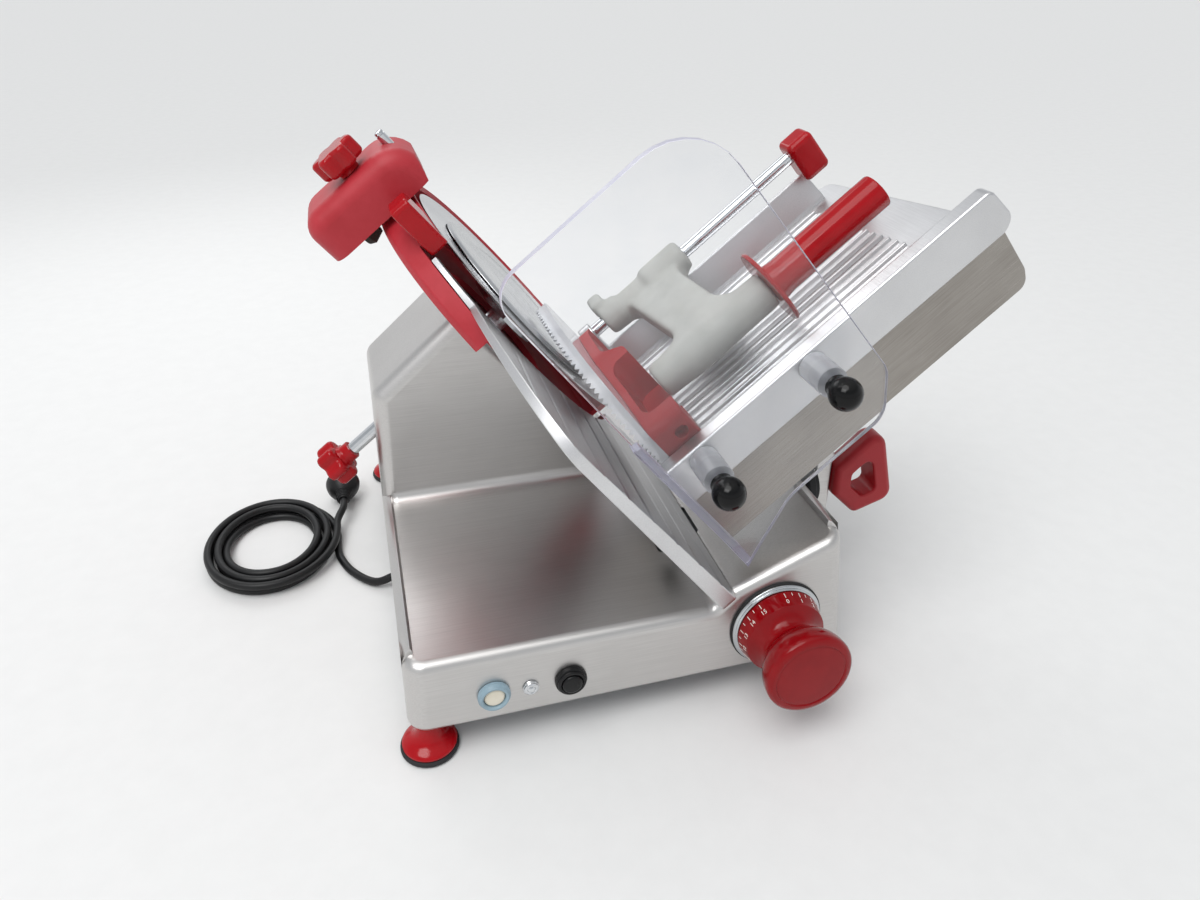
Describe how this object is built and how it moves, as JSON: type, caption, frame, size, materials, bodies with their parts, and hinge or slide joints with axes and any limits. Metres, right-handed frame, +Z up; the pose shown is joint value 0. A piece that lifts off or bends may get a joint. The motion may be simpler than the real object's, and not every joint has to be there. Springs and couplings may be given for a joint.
{
  "type": "electric gravity-feed slicer",
  "caption": "Tilted gravity-feed food slicer with a round blade, fluted gauge plate, sliding tray with swinging pusher and clear guard, motor housing and coiled mains cord.",
  "frame": {"origin": "on the table, under the middle of the machine's bounding box without the cord", "axes": "+X to the right of a person at the front, +Y away from them along the carriage's travel, +Z up"},
  "size_m": [0.6732, 0.4938, 0.4619],
  "materials": {
    "cast_aluminium": "satin",
    "satin_aluminium": "brushed",
    "sheet_steel": "brushed",
    "blade_steel": "polished",
    "chromed_steel": "polished",
    "red_paint": "satin",
    "dark_paint": "satin",
    "red_plastic": "glossy",
    "grey_plastic": "matte",
    "black_plastic": "glossy",
    "blue_plastic": "translucent",
    "ivory_plastic": "matte",
    "black_rubber": "matte",
    "clear_acrylic": "clear",
    "brass": "polished"
  },
  "bodies": {
    "frame": {"base_casing": "cast_aluminium", "bottom_plate": "sheet_steel", "foot_front_left": "red_plastic", "foot_front_right": "red_plastic", "foot_back_left": "red_plastic", "foot_back_right": "red_plastic", "pad_front_left": "black_rubber", "pad_front_right": "black_rubber", "pad_back_left": "black_rubber", "pad_back_right": "black_rubber", "start_button_collar": "blue_plastic", "stop_button_collar": "black_plastic", "pilot_lamp": "chromed_steel", "dial_bezel": "chromed_steel", "gauge_rod": "chromed_steel", "blade_bearing": "cast_aluminium", "motor": "dark_paint", "drive_belt": "black_rubber", "guard_ring": "red_paint", "blade_cover": "satin_aluminium", "guard_block": "red_plastic", "sharpener_post": "red_paint", "guide_rod": "chromed_steel", "cord_gland": "black_rubber", "cord_lead": "black_rubber", "cord_coil": "black_rubber", "plug_body": "black_rubber", "plug_pin_left": "brass", "plug_pin_right": "brass"},
    "start_switch": {"start_button": "ivory_plastic"},
    "stop_switch": {"stop_button": "black_plastic"},
    "setting_knob": {"gauge_knob": "red_plastic", "gauge_cam_shaft": "chromed_steel"},
    "gauge": {"gauge_plate": "satin_aluminium", "gauge_arm": "cast_aluminium"},
    "blade_rotor": {"blade": "blade_steel", "blade_spindle": "chromed_steel"},
    "motor_rotor": {"motor_pulley": "cast_aluminium"},
    "cover_screw": {"cover_rod": "chromed_steel", "cover_knob": "red_plastic"},
    "sharpener": {"sharpener_body": "red_paint", "sharpener_pin": "chromed_steel"},
    "sharpener_clamp": {"sharpener_knob": "red_plastic"},
    "stone": {"grinding_stone": "black_plastic"},
    "carriage": {"carriage_tray": "satin_aluminium", "pusher_rod": "chromed_steel", "rod_end_support": "red_plastic", "carriage_arm": "cast_aluminium", "arm_cap": "black_rubber", "arm_handle": "red_paint", "hand_guard": "clear_acrylic", "guard_spacer_near": "clear_acrylic", "guard_spacer_far": "clear_acrylic", "guard_ball_near": "black_plastic", "guard_ball_far": "black_plastic"},
    "pusher_slider": {"pusher_bush": "black_plastic"},
    "pusher": {"pusher_arm": "grey_plastic", "pusher_grip": "red_plastic", "pusher_plate": "red_plastic", "pusher_shield": "clear_acrylic"}
  },
  "joints": [
    {"name": "start_press", "type": "slide", "parent": "frame", "child": "start_switch", "axis": [0, 1, 0], "range_m": [0, 0.003], "stiffness_N_per_m": 200, "springref_m": -0.001},
    {"name": "stop_press", "type": "slide", "parent": "frame", "child": "stop_switch", "axis": [0, 1, 0], "range_m": [0, 0.003], "stiffness_N_per_m": 200, "springref_m": -0.001},
    {"name": "setting_turn", "type": "hinge", "parent": "frame", "child": "setting_knob", "pos_m": [0.07018, -0.1856, 0.07], "axis": [0, -1, 0], "range_deg": [0, 324]},
    {"name": "gauge_slide", "type": "slide", "parent": "frame", "child": "gauge", "axis": [0.7705, 0, 0.6374], "range_m": [0, 0.012]},
    {"name": "blade_spin", "type": "hinge", "parent": "frame", "child": "blade_rotor", "pos_m": [-0.08552, 0.0544, 0.2698], "axis": [0.7705, 0, 0.6374], "continuous": true},
    {"name": "motor_spin", "type": "hinge", "parent": "frame", "child": "motor_rotor", "pos_m": [-0.08175, 0.0924, 0.14444], "axis": [0.7705, 0, 0.6374], "continuous": true},
    {"name": "cover_screw_turn", "type": "hinge", "parent": "frame", "child": "cover_screw", "pos_m": [-0.25426, 0.0544, 0.1302], "axis": [0.7705, 0, 0.6374], "range_deg": [0, 1080]},
    {"name": "sharpener_lift", "type": "slide", "parent": "frame", "child": "sharpener", "axis": [-0.6374, 0, 0.7705], "range_m": [0, 0.03]},
    {"name": "clamp_turn", "type": "hinge", "parent": "sharpener", "child": "sharpener_clamp", "pos_m": [-0.21657, 0.0444, 0.3937], "axis": [-0.6374, 0, 0.7705], "range_deg": [0, 720]},
    {"name": "stone_press", "type": "slide", "parent": "sharpener", "child": "stone", "axis": [0.7705, 0, 0.6374], "range_m": [0, 0.0035], "stiffness_N_per_m": 300, "springref_m": -0.001},
    {"name": "carriage_slide", "type": "slide", "parent": "frame", "child": "carriage", "axis": [0, 1, 0], "range_m": [0, 0.225]},
    {"name": "pusher_slide", "type": "slide", "parent": "carriage", "child": "pusher_slider", "axis": [0.7705, 0, 0.6374], "range_m": [0, 0.12]},
    {"name": "pusher_swing", "type": "hinge", "parent": "pusher_slider", "child": "pusher", "pos_m": [0.03719, 0.0434, 0.28306], "axis": [-0.7705, 0, -0.6374], "range_deg": [0, 100]}
  ],
  "couplings": [
    {"joint": "setting_turn", "follows": "gauge_slide", "rad_per_m": 471.24},
    {"joint": "motor_spin", "follows": "blade_spin", "ratio": 1.5882}
  ]
}
